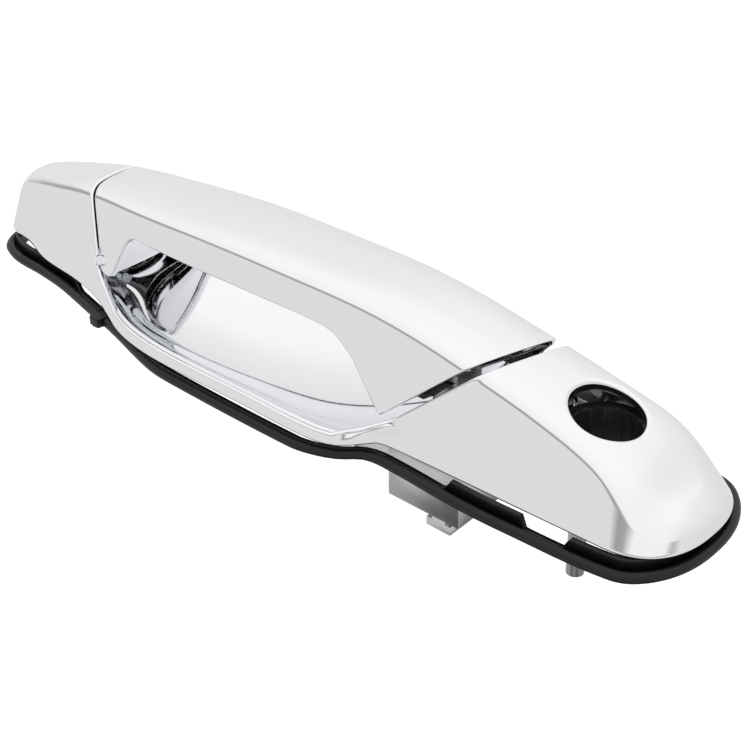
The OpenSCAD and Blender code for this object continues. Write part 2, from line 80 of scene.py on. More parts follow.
def smooth_curve(pairs, count=1200):
    """Dense samples of a smooth curve through (position, value) pairs."""
    x = np.array([p[0] for p in pairs], float)
    v = np.array([p[1] for p in pairs], float)
    m = np.empty(len(x))
    m[1:-1] = (v[2:] - v[:-2]) / (x[2:] - x[:-2])
    m[0] = (v[1] - v[0]) / (x[1] - x[0])
    m[-1] = (v[-1] - v[-2]) / (x[-1] - x[-2])
    fine = np.linspace(x[0], x[-1], count)
    i = np.clip(np.searchsorted(x, fine, side="right") - 1, 0, len(x) - 2)
    h = x[i + 1] - x[i]
    u = (fine - x[i]) / h
    value = ((2 * u**3 - 3 * u**2 + 1) * v[i] + (u**3 - 2 * u**2 + u) * h * m[i]
             + (3 * u**2 - 2 * u**3) * v[i + 1] + (u**3 - u**2) * h * m[i + 1])
    return fine, value


def on_curve(table, x):
    return np.interp(x, table[0], table[1])


def end_round(distance, length):
    """How much of the full width is left at this distance from a rounded end."""
    d = np.clip(np.asarray(distance, float) / length, 0, 1)
    return (1 - (1 - d) ** 2.4) ** (1 / 2.4)


def eased(a, b, x):
    u = np.clip((np.asarray(x, float) - a) / (b - a), 0, 1)
    return u * u * (3 - 2 * u)


ridge_half = smooth_curve(RIDGE_HALF)
ridge_height = smooth_curve(RIDGE_HEIGHT)
base_half = smooth_curve(BASE_HALF)
rim_half = smooth_curve(RIM_HALF)


def ridge_width(x):
    return on_curve(ridge_half, x) * np.minimum(end_round(x + 134, 7), end_round(138 - x, 20))


def top_height(x, y):
    """Height of the crowned top face over a place on it."""
    w = np.maximum(ridge_width(x), 1e-3)
    f = np.clip(np.abs(y) / w, 0, 1)
    return on_curve(ridge_height, x) + 1.99 * (1 - f**3) * np.minimum(1, w / 8)


# Lines along the body, from the hinge end (0) to the lock end (1): the lower edge, the ridge between
# the side and the top, and where the ridge's rounding starts and ends.
STATION = 0.5 * (1 - np.cos(np.pi * np.linspace(0, 1, 2601)))
edge_x = -139.6 + 279.4 * STATION
edge_round = np.minimum(end_round(edge_x + 139.6, 10), end_round(139.8 - edge_x, 21))
edge_w = on_curve(base_half, edge_x) * edge_round
bulge = (on_curve(rim_half, edge_x) - on_curve(base_half, edge_x)) * edge_round
ridge_x = -134 + 272 * STATION
ridge_w = ridge_width(ridge_x)
ridge_z = on_curve(ridge_height, ridge_x)
rounding = 3.0 + 2.5 * eased(112, 126, ridge_x) + 1.0 * (1 - eased(-130, -118, ridge_x))
step_x, step_w = np.gradient(ridge_x), np.gradient(ridge_w)
step = np.hypot(step_x, step_w)
inner_x = ridge_x + rounding * step_w / step
inner_w = np.maximum(ridge_w - rounding * step_x / step, 0)
inner_z = top_height(inner_x, inner_w)
side_length = np.sqrt((ridge_x - edge_x) ** 2 + (ridge_w - edge_w) ** 2 + (ridge_z - EDGE_Z) ** 2)
share = np.minimum(rounding, 0.45 * side_length) / side_length
start_x = ridge_x + share * (edge_x - ridge_x)
start_w = ridge_w + share * (edge_w - ridge_w)
start_z = ridge_z + share * (EDGE_Z - ridge_z)


def line_at(values, s):
    return np.interp(s, STATION, values)


def side_point(s, t, flare=True):
    """A place on the side face: t runs from the lower edge to the ridge's rounding."""
    x = (1 - t) * line_at(edge_x, s) + t * line_at(start_x, s)
    w = (1 - t) * line_at(edge_w, s) + t * line_at(start_w, s)
    z = (1 - t) * EDGE_Z + t * line_at(start_z, s)
    if flare:
        w = w + line_at(bulge, s) * (1 - eased(8, 24, z))
    return x, w, z


def ridge_point(s, q):
    """A place on the ridge's rounding, q from the side to the top."""
    a, b, c = (1 - q) ** 2, 2 * q * (1 - q), q * q
    return (a * line_at(start_x, s) + b * line_at(ridge_x, s) + c * line_at(inner_x, s),
            a * line_at(start_w, s) + b * line_at(ridge_w, s) + c * line_at(inner_w, s),
            a * line_at(start_z, s) + b * line_at(ridge_z, s) + c * line_at(inner_z, s))


def rim_share(s):
    """The part of the side's height that the rim takes."""
    high = line_at(start_z, s) - EDGE_Z
    return (RIM_Z - EDGE_Z) * np.minimum(1, high / 12) / high


SIDE_ROWS = 14
RIDGE_ROWS = 6
TOP_ROWS = 18


def body_point(row, s, flare=True):
    """A place on the whole section. Rows run from the near lower edge over the top to the far one."""
    kind, value, sign = row
    if kind == "side":
        rim = rim_share(s)
        t = np.where(value < 0, 0 * s, rim + (1 - rim) * value)
        x, w, z = side_point(s, t, flare)
        return np.array([x, sign * w, z])
    if kind == "ridge":
        x, w, z = ridge_point(s, value)
        return np.array([x, sign * w, z])
    x, w = line_at(inner_x, s), line_at(inner_w, s) * value
    return np.array([x, w, top_height(x, w)])


side_rows = [("side", -1.0)] + [("side", k / SIDE_ROWS) for k in range(SIDE_ROWS)]
ridge_rows = [("ridge", k / RIDGE_ROWS) for k in range(RIDGE_ROWS)]
SECTION = ([(*r, -1) for r in side_rows + ridge_rows]
           + [("top", -1 + 2 * k / TOP_ROWS, 0) for k in range(TOP_ROWS + 1)]
           + [(*r, 1) for r in reversed(side_rows + ridge_rows)])


def left_cap_seam(z, y):
    u = np.clip((z - RIM_Z) / 6.5, 0, 1)
    return -71.6 - 0.536 * z + 16 * (1 - u) ** 3


def right_cap_seam(z, y):
    u = np.clip((z - RIM_Z) / 5, 0, 1)
    return 1.012 * z + 0.316 * y + 41.55 - 5 * (1 - u) ** 2


def seam_station(row, seam, point=body_point):
    """How far along the body this row meets a seam."""
    lo, hi = 0.0, 1.0
    for _ in range(44):
        mid = (lo + hi) / 2
        x, y, z = point(row, np.float64(mid))
        lo, hi = (mid, hi) if x < seam(z, y) else (lo, mid)
    return (lo + hi) / 2


def row_stations(seam, rows):
    """Seam stations of all rows. The lowest row takes its neighbour's, so the rim's ends stay square."""
    found = [seam_station(r, seam) for r in rows]
    found[0], found[-1] = found[1], found[-2]
    return found


def grid_faces(start, count_i, count_j, skip=lambda i, j: False):
    """Faces of a grid that was stored column by column."""
    return [(start + i * count_j + j, start + (i + 1) * count_j + j,
             start + (i + 1) * count_j + j + 1, start + i * count_j + j + 1)
            for i in range(count_i - 1) for j in range(count_j - 1) if not skip(i, j)]


class Sheet:
    """Points in millimetres and the faces between them, collected patch by patch."""

    def __init__(self):
        self.points = []
        self.faces = []

    def patch(self, columns, skip=lambda i, j: False):
        start = len(self.points)
        for column in columns:
            self.points.extend(tuple(float(c) for c in p) for p in column)
        self.faces.extend(grid_faces(start, len(columns), len(columns[0]), skip))
        return start

    def piece(self, name, weld=0.004):
        mesh = bpy.data.meshes.new(name)
        mesh.from_pydata([tuple(c * MM for c in p) for p in self.points], [], self.faces)
        bm = bmesh.new()
        bm.from_mesh(mesh)
        bmesh.ops.remove_doubles(bm, verts=bm.verts, dist=weld * MM)
        bmesh.ops.dissolve_degenerate(bm, edges=bm.edges, dist=weld * MM)
        bm.to_mesh(mesh)
        bm.free()
        obj = bpy.data.objects.new(name, mesh)
        bpy.context.scene.collection.objects.link(obj)
        return obj


def settled(obj):
    """Turns an object's modifiers into its mesh."""
    evaluated = obj.evaluated_get(bpy.context.evaluated_depsgraph_get())
    mesh = bpy.data.meshes.new_from_object(evaluated)
    obj.modifiers.clear()
    old = obj.data
    obj.data = mesh
    bpy.data.meshes.remove(old)
    obj.data.name = obj.name
    return obj


def shaded(obj, angle=38):
    for face in obj.data.polygons:
        face.use_smooth = True
    obj.data.set_sharp_from_angle(angle=math.radians(angle))
    return obj


def thickened(obj, wall, lip=0.5):
    """Gives a sheet its wall, inwards, and rolls its outer and inner edges over with a small radius."""
    bm = bmesh.new()
    bm.from_mesh(obj.data)
    bm.normal_update()
    wall, lip = wall * MM, lip * MM
    verts = list(bm.verts)
    place = {v: v.co.copy() for v in verts}
    normal = {v: v.normal.copy() for v in verts}
    outward, after = {}, {}
    for e in bm.edges:
        if len(e.link_loops) != 1:
            continue
        loop = e.link_loops[0]
        a, b = loop.vert, loop.link_loop_next.vert
        after[a] = b
        side = (place[b] - place[a]).cross(loop.face.normal).normalized()
        for v in (a, b):
            outward.setdefault(v, []).append(side)
    for v, sides in outward.items():
        mean = sum(sides, Vector()).normalized()
        outward[v] = mean / max(0.9, mean.dot(sides[0]))
    faces = [list(f.verts) for f in bm.faces]
    inner = {}
    for v in verts:
        back_off = outward[v] * lip * 0.6 if v in outward else Vector()
        inner[v] = bm.verts.new(place[v] - back_off - normal[v] * wall)
        if v in outward:
            v.co = place[v] - outward[v] * lip * 1.5
    for f in faces:
        bm.faces.new([inner[v] for v in reversed(f)])
    turns = [math.pi / 2 * k / 4 for k in range(5)]
    rolled = {}
    for v in outward:
        p, n, d = place[v], normal[v], outward[v]
        ring = [p - d * lip * (1 - math.sin(a)) - n * lip * (1 - math.cos(a)) for a in turns]
        ring.append(p - n * (wall - lip * 0.6))
        rolled[v] = [v] + [bm.verts.new(q) for q in ring] + [inner[v]]
    for a, b in after.items():
        for k in range(len(rolled[a]) - 1):
            bm.faces.new([rolled[b][k], rolled[a][k], rolled[a][k + 1], rolled[b][k + 1]])
    bm.to_mesh(obj.data)
    bm.free()
    return shaded(obj, 60)


def box_piece(name, low, high):
    bm = bmesh.new()
    bmesh.ops.create_cube(bm, size=1)
    for v in bm.verts:
        v.co = Vector([MM * (low[k] if v.co[k] < 0 else high[k]) for k in range(3)])
    mesh = bpy.data.meshes.new(name)
    bm.to_mesh(mesh)
    bm.free()
    obj = bpy.data.objects.new(name, mesh)
    bpy.context.scene.collection.objects.link(obj)
    return obj


def cut_away(obj, tools):
    """Cuts tools out of a solid and removes them."""
    for tool in tools:
        step_cut = obj.modifiers.new("cut", "BOOLEAN")
        step_cut.operation = "DIFFERENCE"
        step_cut.solver = "EXACT"
        step_cut.object = tool
    settled(obj)
    for tool in tools:
        bpy.data.objects.remove(tool)
    return obj


def joined(name, objects):
    """One piece out of several solids."""
    bm = bmesh.new()
    for o in objects:
        bm.from_mesh(o.data)
        bpy.data.objects.remove(o)
    mesh = bpy.data.meshes.new(name)
    bm.to_mesh(mesh)
    bm.free()
    obj = bpy.data.objects.new(name, mesh)
    bpy.context.scene.collection.objects.link(obj)
    return obj


def linear(hex_colour):
    """sRGB hex to the linear colour that the shader takes."""
    channels = [int(hex_colour[i:i + 2], 16) / 255 for i in (0, 2, 4)]
    return tuple(c / 12.92 if c <= 0.04045 else ((c + 0.055) / 1.055) ** 2.4 for c in channels) + (1.0,)


def add_node(tree, kind, settings=None, links=None, **values):
    """Adds a node with its settings and input values, and links other sockets to its inputs."""
    node = tree.nodes.new(kind)
    for key, value in (settings or {}).items():
        setattr(node, key, value)
    for key, value in values.items():
        node.inputs[key.replace("_", " ")].default_value = value
    for key, socket in (links or {}).items():
        tree.links.new(socket, node.inputs[key])
    return node


def finish_of(name, colour, metallic, roughness, **shader_values):
    """A material with the constants on the shader's own sockets; returns it, its tree and its shader."""
    made = bpy.data.materials.new(name)
    made.use_nodes = True
    tree = made.node_tree
    tree.nodes.clear()
    shader = add_node(tree, "ShaderNodeBsdfPrincipled", Base_Color=linear(colour), Metallic=metallic,
                      Roughness=roughness, **shader_values)
    add_node(tree, "ShaderNodeOutputMaterial", links={"Surface": shader.outputs["BSDF"]})
    made.diffuse_color = linear(colour)
    made.metallic = metallic
    made.roughness = roughness
    return made, tree, shader


def relief(tree, shader, height, strength, depth):
    """Small surface relief of a given depth in metres."""
    bump = add_node(tree, "ShaderNodeBump", links={"Height": height}, Strength=strength, Distance=depth)
    tree.links.new(bump.outputs["Normal"], shader.inputs["Normal"])


# Decorative chrome over moulded plastic: a mirror, whose slow ripple of a tenth of a millimetre over
# 30 mm comes from the moulding's shrinkage and bends the reflections a little.
chrome_plate, chrome_tree, chrome_shader = finish_of("Chrome_Plated_ABS", "E9EAEC", 1.0, 0.045)
place = add_node(chrome_tree, "ShaderNodeTexCoord")
ripple = add_node(chrome_tree, "ShaderNodeTexNoise", {"noise_dimensions": "3D"},
                  {"Vector": place.outputs["Object"]}, Scale=1 / 0.030, Detail=1.0, Roughness=0.4)
relief(chrome_tree, chrome_shader, ripple.outputs["Fac"], 0.25, 0.0001)

bezel_sheet = Sheet()
left_ends = row_stations(left_cap_seam, SECTION)
right_starts = row_stations(right_cap_seam, SECTION)
LEFT_COLUMNS, RIM_COLUMNS, RIGHT_COLUMNS = 46, 76, 64
left_steps = [1 - math.cos(math.pi / 2 * i / LEFT_COLUMNS) for i in range(LEFT_COLUMNS + 1)]
right_steps = [1 - math.cos(math.pi / 2 * i / RIGHT_COLUMNS) for i in range(RIGHT_COLUMNS + 1)][::-1]
bezel_sheet.patch([[body_point(r, np.float64(left_ends[j] * g)) for j, r in enumerate(SECTION)]
                   for g in left_steps])
right_columns = [[body_point(r, np.float64(1 - (1 - right_starts[j]) * g)) for j, r in enumerate(SECTION)]
                 for g in right_steps]

# The key hole takes out a block of the top, which a collar of rings fills: round at the hole, square outside.
KEY_X = 104
KEY_R = 10.4
KEY_LIP = 1.1
top_first = SIDE_ROWS + 1 + RIDGE_ROWS
top_last = top_first + TOP_ROWS
middle_row = (top_first + top_last) // 2
block_first = max(i for i, c in enumerate(right_columns) if c[middle_row][0] < KEY_X - 13.5)
block_last = min(i for i, c in enumerate(right_columns) if c[middle_row][0] > KEY_X + 13.5)
bezel_sheet.patch(right_columns, lambda i, j: block_first <= i < block_last and top_first <= j < top_last)
frame_of_block = ([right_columns[i][top_first] for i in range(block_first, block_last)]
                  + [right_columns[block_last][j] for j in range(top_first, top_last)]
                  + [right_columns[i][top_last] for i in range(block_last, block_first, -1)]
                  + [right_columns[block_first][j] for j in range(top_last, top_first, -1)])
collar = []
for p in frame_of_block + frame_of_block[:1]:
    turn = math.atan2(p[1], p[0] - KEY_X)
    across, along_ = math.sin(turn), math.cos(turn)
    column = []
    for k in range(7):
        u = k / 6
        r = KEY_R + KEY_LIP
        x = (1 - u) * p[0] + u * (KEY_X + r * along_)
        y = (1 - u) * p[1] + u * r * across
        column.append((x, y, float(top_height(np.float64(x), np.float64(y)))))
    x, y, z = column[-1]
    slope_x = float(top_height(np.float64(x), np.float64(y))
                    - top_height(np.float64(x - 0.5), np.float64(y))) / 0.5
    for k in range(1, 6):
        a = math.pi / 2 * k / 5
        r = KEY_R + KEY_LIP * (1 - math.sin(a))
        column.append((KEY_X + r * along_, r * across,
                       z - KEY_LIP * (1 - math.cos(a)) - slope_x * (KEY_R + KEY_LIP - r) * along_))
    column.append((KEY_X + KEY_R * along_, KEY_R * across, column[-1][2] - 2.2))
    collar.append(column)
bezel_sheet.patch(collar)

# The rim between the caps, on both sides.
for first_row, sign in ((0, -1), (len(SECTION) - 2, 1)):
    pair = (first_row, first_row + 1)
    stations = [(left_ends[pair[0]] * (1 - k / RIM_COLUMNS) + right_starts[pair[0]] * k / RIM_COLUMNS)
                for k in range(RIM_COLUMNS + 1)]
    bezel_sheet.patch([[body_point(SECTION[j], np.float64(s)) for j in pair] for s in stations])
bezel_shell = thickened(bezel_sheet.piece("bezel"), WALL, 0.7)

BOSSES = [(-104, -11.5, 13.5), (-104, 11.5, 13.5), (82, -13, 17), (82, 13, 17), (122, -10, 15), (122, 10, 15)]
boss_pieces = []
for x, y, high in BOSSES:
    low = 4.0
    bm = bmesh.new()
    bmesh.ops.create_cone(bm, cap_ends=True, segments=28, radius1=3.4 * MM, radius2=3.1 * MM,
                          depth=(high - low) * MM)
    bmesh.ops.translate(bm, verts=bm.verts, vec=Vector((x, y, (low + high) / 2)) * MM)
    mesh = bpy.data.meshes.new("boss")
    bm.to_mesh(mesh)
    bm.free()
    boss = bpy.data.objects.new("boss", mesh)
    bpy.context.scene.collection.objects.link(boss)
    boss_pieces.append(boss)
bosses = shaded(joined("bezel_bosses", boss_pieces))
for piece in (bezel_shell, bosses):
    piece.data.materials.clear()
    piece.data.materials.append(chrome_plate)
    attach(piece, "frame_body")
    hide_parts("bezel")

# ---------------------------------------------------------------------------------------------
# Finger cup. The chrome bowl that the fingertips reach into. It is a plated moulding of its own,
# clipped inside the rim, and its lock end rises behind the cap's edge with a slot for the pull arm.
# ---------------------------------------------------------------------------------------------
CUP_LEFT = -84.0
CUP_DEPTH = 16.2
CUP_COLUMNS, CUP_RAMP, CUP_ACROSS = 62, 14, 34
cup_sheet = Sheet()


def side_width(x, z, flare=True):
    """Half width of the body's side face at a place along it and a height."""
    x, z = np.float64(x), np.float64(z)
    s = (x + 140) / 280
    for _ in range(30):
        t = (z - EDGE_Z) / (line_at(start_z, s) - EDGE_Z)
        at_x = (1 - t) * line_at(edge_x, s) + t * line_at(start_x, s)
        s = np.clip(s + (x - at_x) / 278, 0, 1)
    return float(side_point(s, t, flare)[1])


def cup_foot(y):
    return 52.3 + 0.316 * y


cup_columns = []
for i in range(CUP_COLUMNS + 1):
    u = i / CUP_COLUMNS
    column = []
    deep = math.sin(math.pi * min(1, max(0, u))) ** 0.55
    for j in range(CUP_ACROSS + 1):
        v = math.sin(math.pi / 2 * (-1 + 2 * j / CUP_ACROSS))
        x = CUP_LEFT + u * (52.3 - CUP_LEFT)
        half = side_width(x, 9.2) - WALL * 1.05 - 0.12
        x += eased(0.6, 1, u) * 0.316 * v * half
        half = side_width(x, 9.2) - WALL * 1.05 - 0.12
        z = 9.3 - CUP_DEPTH * deep * max(0, 1 - v * v) ** 0.6
        column.append((x, v * half, z))
    cup_columns.append(column)
for i in range(1, CUP_RAMP + 1):
    height = 9.3 + 11.5 * i / CUP_RAMP
    column = []
    for j in range(CUP_ACROSS + 1):
        v = math.sin(math.pi / 2 * (-1 + 2 * j / CUP_ACROSS))
        y = 0.0
        for _ in range(5):
            x = cup_foot(y) + 1.012 * (height - 9.3)
            y = v * (side_width(x, height) - WALL * 1.05 - 0.12)
        column.append((x, y, height))
    cup_columns.append(column)
cup_sheet.patch(cup_columns)
finger_cup = thickened(cup_sheet.piece("finger_cup"), 1.6, 0.3)
cut_away(finger_cup, [box_piece("slot_for_pull_arm", (45, -14.6, 11), (80, -6.4, 30))])
shaded(finger_cup, 35)
finger_cup.data.materials.clear()
finger_cup.data.materials.append(chrome_plate)
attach(finger_cup, "frame_body")
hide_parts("finger_cup")

# ---------------------------------------------------------------------------------------------
# Grip shell. The pulled bar between the caps, with a leg at each end: a chrome plated moulding,
# open underneath, whose slanted lock end follows the cap's edge.
# ---------------------------------------------------------------------------------------------
GRIP_LOW = [(-78.8, 16.5), (-78.2, 14.6), (-76.8, 13.6), (-75, 13.3), (-73.4, 13.5), (-72.3, 15),
            (-70.4, 20.4), (-69.1, 23.8), (-67.6, 26.6), (-66.3, 27.7), (-64.4, 28.2), (-50, 28.7),
            (-20, 29.7), (10, 30.3), (18, 30.1), (22.4, 29.2), (26, 27.4), (30, 25), (37.6, 18.2),
            (41.2, 14.9), (42.6, 13.8), (43.7, 13.3)]


def left_grip_seam(z, y):
    return -70 - 0.536 * z


def right_grip_seam(z, y):
    return 1.012 * z + 0.316 * y + 37.6


def grip_lower(count, sign, lift=0.0):
    """Points along the grip's lower edge; on the far side the lock end sits further out."""
    pts = [np.array(p, float) for p in GRIP_LOW]
    if sign > 0:
        pts = [p + np.array([16.0 * float(eased(18, 44, p[0])), 0.0]) for p in pts]
    lengths = np.concatenate([[0], np.cumsum([np.linalg.norm(b - a) for a, b in zip(pts, pts[1:])])])
    where = np.linspace(0, lengths[-1], count)
    x = np.interp(where, lengths, [p[0] for p in pts])
    z = np.interp(where, lengths, [p[1] for p in pts]) + lift
    return list(zip(x, z))


GRIP_COLUMNS = 150
GRIP_SIDE_ROWS = 12
grip_ridge_rows = [("ridge", k / RIDGE_ROWS) for k in range(RIDGE_ROWS)]
grip_top = [("top", -1 + 2 * k / TOP_ROWS, 0) for k in range(TOP_ROWS + 1)]
grip_upper = [(*r, -1) for r in grip_ridge_rows] + grip_top + [(*r, 1) for r in reversed(grip_ridge_rows)]
grip_left = [seam_station(r, left_grip_seam) for r in grip_upper]
grip_right = [seam_station(r, right_grip_seam) for r in grip_upper]
steps = np.linspace(0, 1, GRIP_COLUMNS + 1)


def grip_columns(lift=0.0):
    near, far = grip_lower(GRIP_COLUMNS + 1, -1, lift), grip_lower(GRIP_COLUMNS + 1, 1, lift)
    columns = []
    for i, g in enumerate(steps):
        upper = [body_point(r, np.float64(a + (b - a) * g), False)
                 for r, a, b in zip(grip_upper, grip_left, grip_right)]
        sides = []
        for low, top, sign in ((near[i], upper[0], -1), (far[i], upper[-1], 1)):
            side = []
            for k in range(GRIP_SIDE_ROWS):
                v = k / GRIP_SIDE_ROWS
                x, z = (1 - v) * low[0] + v * top[0], (1 - v) * low[1] + v * top[2]
                side.append((x, sign * side_width(x, z, False), z))
            sides.append(side)
        columns.append(sides[0] + [tuple(p) for p in upper] + sides[1][::-1])
    return columns


grip_sheet = Sheet()
grip_shape = grip_columns()
grip_sheet.patch(grip_shape)
grip_shell = thickened(grip_sheet.piece("grip_shell"), WALL, 0.45)
grip_shell.data.materials.clear()
grip_shell.data.materials.append(chrome_plate)
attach(grip_shell, "grip_body")
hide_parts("grip_shell")

# ---------------------------------------------------------------------------------------------
# Grip base. The inner half of the grip, a solid plated moulding that closes the shell from below
# and holds the roots of both arms in pockets.
# ---------------------------------------------------------------------------------------------
BASE_GAP = 2.75
BASE_LIFT = 0.35


def base_ring(i):
    """One closed section of the grip base, between its side walls, underside and flat top."""
    g = steps[i]
    ring = []
    top_x = -83.5 + g * (58.0 + 83.5)
    near, far = base_low[0][i], base_low[1][i]
    for low, sign in ((near, -1), (far, 1)):
        side = []
        shift = 0.316 * 22 * sign * float(eased(0.6, 1, g))
        for k in range(7):
            v = k / 6
            x, z = (1 - v) * low[0] + v * (top_x + shift), (1 - v) * low[1] + v * 31.2
            side.append((x, sign * max(0.4, side_width(x, z, False) - BASE_GAP), z))
        ring.append(side)
    under = []
    for k in range(1, 12):
        v = k / 12
        a, b = np.array(ring[0][0]), np.array(ring[1][0])
        p = (1 - v) * a + v * b
        under.append((p[0], p[1], p[2] - 0.8 * (1 - (2 * v - 1) ** 2)))
    over = [tuple((1 - k / 4) * np.array(ring[1][-1]) + k / 4 * np.array(ring[0][-1])) for k in range(1, 4)]
    return ring[0][::-1] + under + ring[1] + over


base_low = [[(x + 1.2 * float(1 - eased(-79, -70, x)) - 3.6 * float(eased(36, 43, x)), z + BASE_LIFT)
             for x, z in grip_lower(GRIP_COLUMNS + 1, sign)] for sign in (-1, 1)]
base_sheet = Sheet()
rings = [base_ring(i) for i in range(GRIP_COLUMNS + 1)]
base_sheet.patch([ring + ring[:1] for ring in rings])
for ring, turned in ((rings[0], False), (rings[-1], True)):
    first = len(base_sheet.points)
    base_sheet.points.extend(ring)
    order = list(range(first, first + len(ring)))
    base_sheet.faces.append(order if turned else order[::-1])
grip_base = base_sheet.piece("grip_base")
bm = bmesh.new()
bm.from_mesh(grip_base.data)
bmesh.ops.recalc_face_normals(bm, faces=bm.faces)
bm.to_mesh(grip_base.data)
bm.free()
cut_away(grip_base, [box_piece("hinge_arm_pocket", (-95, -5.2, 5), (-80.6, 5.2, 27.2)),
                     box_piece("hinge_root_pocket", (-95.3, -5.25, 17.9), (-73.9, 5.25, 27.25)),
                     box_piece("pull_arm_pocket", (49.9, -13.2, 5), (90, 3.2, 30.1))])
shaded(grip_base, 35)
grip_base.data.materials.clear()
grip_base.data.materials.append(chrome_plate)
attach(grip_base, "grip_body")
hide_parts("grip_base")

# ---------------------------------------------------------------------------------------------
# Cast parts. Frame, hinge arm, pull arm and bell crank are pressure die cast zinc, with rounded
# edges, and left satin from the tumbling that takes the flash off.
# ---------------------------------------------------------------------------------------------
# Satin die cast zinc: mid grey metal with a fine tumbled grain of about half a millimetre, and darker
# and lighter clouds where the metal chilled against the die.
satin_zinc, zinc_tree, zinc_shader = finish_of("Tumbled_Die_Cast_Zinc", "CDCFD1", 1.0, 0.36)
place = add_node(zinc_tree, "ShaderNodeTexCoord")
grain = add_node(zinc_tree, "ShaderNodeTexNoise", {"noise_dimensions": "3D"},
                 {"Vector": place.outputs["Object"]}, Scale=1 / 0.0005, Detail=2.0, Roughness=0.6)
clouds = add_node(zinc_tree, "ShaderNodeTexNoise", {"noise_dimensions": "3D"},
                  {"Vector": place.outputs["Object"]}, Scale=1 / 0.012, Detail=3.0, Roughness=0.55)
tone = add_node(zinc_tree, "ShaderNodeMapRange", links={"Value": clouds.outputs["Fac"]},
                From_Min=0.3, From_Max=0.7, To_Min=0.30, To_Max=0.44)
zinc_tree.links.new(tone.outputs["Result"], zinc_shader.inputs["Roughness"])
relief(zinc_tree, zinc_shader, grain.outputs["Fac"], 0.35, 0.00004)


def eased_copy(node, name, width, material, body, angle=32):
    """A copy of a plain CAD piece with its edges rounded, which stands for it."""
    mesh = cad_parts[node].data.copy()
    mesh.name = name
    mesh.attributes.remove(mesh.attributes["custom_normal"]) if "custom_normal" in mesh.attributes else None
    bm = bmesh.new()
    bm.from_mesh(mesh)
    bmesh.ops.remove_doubles(bm, verts=bm.verts, dist=0.002 * MM)
    bmesh.ops.dissolve_limit(bm, angle_limit=math.radians(0.5), verts=bm.verts, edges=bm.edges)
    bm.to_mesh(mesh)
    bm.free()
    obj = bpy.data.objects.new(name, mesh)
    bpy.context.scene.collection.objects.link(obj)
    edge_step = obj.modifiers.new("edge", "BEVEL")
    edge_step.width = width * MM
    edge_step.segments = 2
    edge_step.limit_method = "ANGLE"
    edge_step.angle_limit = math.radians(angle)
    edge_step.use_clamp_overlap = True
    edge_step.harden_normals = True
    shaded(settled(obj), 40)
    obj.data.materials.clear()
    obj.data.materials.append(material)
    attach(obj, body)
    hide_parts(node)
    return obj


eased_copy("frame", "cast_frame", 0.45, satin_zinc, "frame_body")
eased_copy("hinge_arm", "cast_hinge_arm", 0.5, satin_zinc, "grip_body")
eased_copy("pull_arm", "cast_pull_arm", 0.6, satin_zinc, "grip_body")
eased_copy("bell_crank", "cast_bell_crank", 0.3, satin_zinc, "crank_body")

# ---------------------------------------------------------------------------------------------
# Gasket. The black rubber seal between the handle and the door: a flat lip with a round outer bead,
# and an upstand along both caps. It is moulded EPDM, pressed onto the bezel's pegs.
# ---------------------------------------------------------------------------------------------
# Moulded EPDM: near black with a soft sheen, and a fine matt texture of about 0.6 mm from the die.
black_rubber, rubber_tree, rubber_shader = finish_of(
    "Moulded_EPDM_Rubber", "0B0B0C", 0.0, 0.38, **{"Specular IOR Level": 0.35})
place = add_node(rubber_tree, "ShaderNodeTexCoord")
skin_texture = add_node(rubber_tree, "ShaderNodeTexNoise", {"noise_dimensions": "3D"},
                        {"Vector": place.outputs["Object"]}, Scale=1 / 0.0006, Detail=2.0, Roughness=0.5)
relief(rubber_tree, rubber_shader, skin_texture.outputs["Fac"], 0.3, 0.00003)

GASKET_HALF = [(-138.8, 15), (-125, 20.5), (-110, 21.7), (-97, 23.4), (-76, 28.2), (-69, 29.6), (-61, 31.6),
               (-40, 37.4), (-30, 38.6), (22, 38.9), (30, 37.3), (37, 34.2), (43, 29.6), (52, 29),
               (76, 30.3), (93, 30.1), (125, 28), (141.2, 22)]
gasket_half = smooth_curve(GASKET_HALF)
GASKET_COLUMNS = 220
gasket_x = -138.8 + 280.0 * 0.5 * (1 - np.cos(np.pi * np.linspace(0, 1, GASKET_COLUMNS + 1)))
gasket_w = on_curve(gasket_half, gasket_x) * np.minimum(end_round(gasket_x + 138.8, 8),
                                                        end_round(141.2 - gasket_x, 15))
gasket_path = np.concatenate([np.stack([gasket_x, -gasket_w], 1), np.stack([gasket_x, gasket_w], 1)[-2:0:-1]])
heading = np.roll(gasket_path, -1, 0) - np.roll(gasket_path, 1, 0)
heading /= np.linalg.norm(heading, axis=1)[:, None]
inward = np.stack([-heading[:, 1], heading[:, 0]], 1)
BEAD_R = 1.65


def upstand(x):
    """Height of the wall that stands up inside each cap's lower edge."""
    left = 1 - eased(-94, -91, x)
    lock = eased(69, 72, x) * (1 - eased(96, 97.5, x) * (1 - eased(110, 111.5, x)))
    return 1.7 + 3.9 * np.maximum(left, lock)


